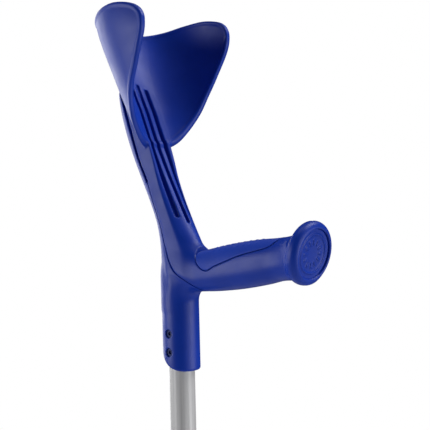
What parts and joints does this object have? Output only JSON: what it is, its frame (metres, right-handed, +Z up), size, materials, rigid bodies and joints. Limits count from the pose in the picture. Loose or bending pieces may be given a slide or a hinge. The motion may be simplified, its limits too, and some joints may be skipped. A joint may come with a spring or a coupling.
{
  "type": "forearm crutch",
  "caption": "Forearm crutch with an open moulded cuff, a forward handle and a telescopic leg that locks with a snap button.",
  "frame": {"origin": "centre of the ferrule's underside, where it meets the floor", "axes": "+Z up along the leg, +X along the handle, away from the cuff, Y across the cuff"},
  "size_m": [0.219, 0.1146, 1.0505],
  "materials": {
    "blue_plastic": "satin",
    "soft_blue_pad": "matt",
    "satin_aluminium": "drawn satin",
    "zinc_steel": "zinc plated",
    "grey_plastic": "matt",
    "black_rubber": "matt",
    "black_steel": "black oxide"
  },
  "bodies": {
    "crutch_head": {"cuff_and_handle": "blue_plastic", "rear_spine_socket": "blue_plastic", "grip_pad": "soft_blue_pad", "grip_end_plug": "blue_plastic", "socket_screws": "black_steel", "socket_sleeve_nuts": "black_steel", "tube_core": "grey_plastic", "upper_tube": "satin_aluminium", "upper_tube_bush": "grey_plastic"},
    "lower_leg": {"lower_tube": "satin_aluminium", "lower_tube_glide": "grey_plastic", "button_spring": "zinc_steel", "ferrule": "black_rubber", "ferrule_washer": "zinc_steel"},
    "snap_button": {"snap_button": "zinc_steel"}
  },
  "joints": [
    {"name": "leg_extension", "type": "slide", "parent": "crutch_head", "child": "lower_leg", "axis": [0, 0, -1], "range_m": [-0.05, 0.1]},
    {"name": "button_press", "type": "slide", "parent": "lower_leg", "child": "snap_button", "axis": [1, 0, 0], "range_m": [0, 0.0036], "stiffness_N_per_m": 1500, "springref_m": -0.004, "deforming": ["button_spring"]}
  ]
}
